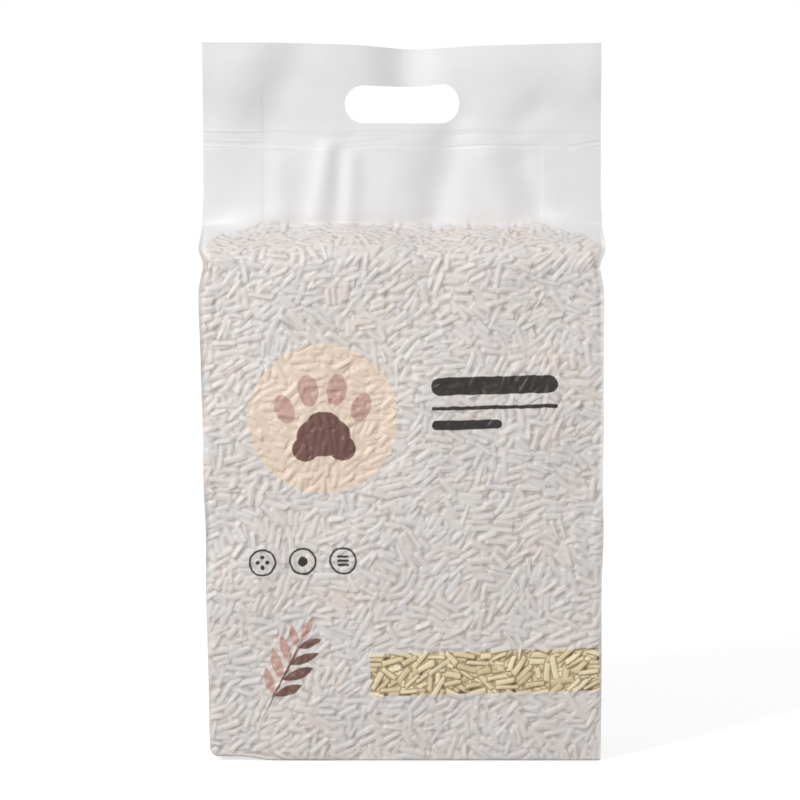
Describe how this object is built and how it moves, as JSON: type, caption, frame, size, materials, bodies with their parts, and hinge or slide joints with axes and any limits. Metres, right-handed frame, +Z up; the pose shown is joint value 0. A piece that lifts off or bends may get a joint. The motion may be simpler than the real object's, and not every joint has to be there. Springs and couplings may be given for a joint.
{
  "type": "cat litter bag",
  "caption": "Vacuum-packed side-gusset film bag of pellet cat litter: a block that stands on its folded base, with a flat sealed header and a stadium-shaped hand slot.",
  "frame": {"origin": "middle of the base, on the surface the bag stands on", "axes": "+Z up the bag to the header, +X to the viewer's right when facing the front panel, the front panel faces -Y and the back seam +Y"},
  "size_m": [0.2514, 0.0804, 0.445],
  "materials": {
    "film": "off-white laminate film drawn tight over pellets, satin"
  },
  "bodies": {
    "root": {"litter_bag": "film"}
  },
  "joints": []
}
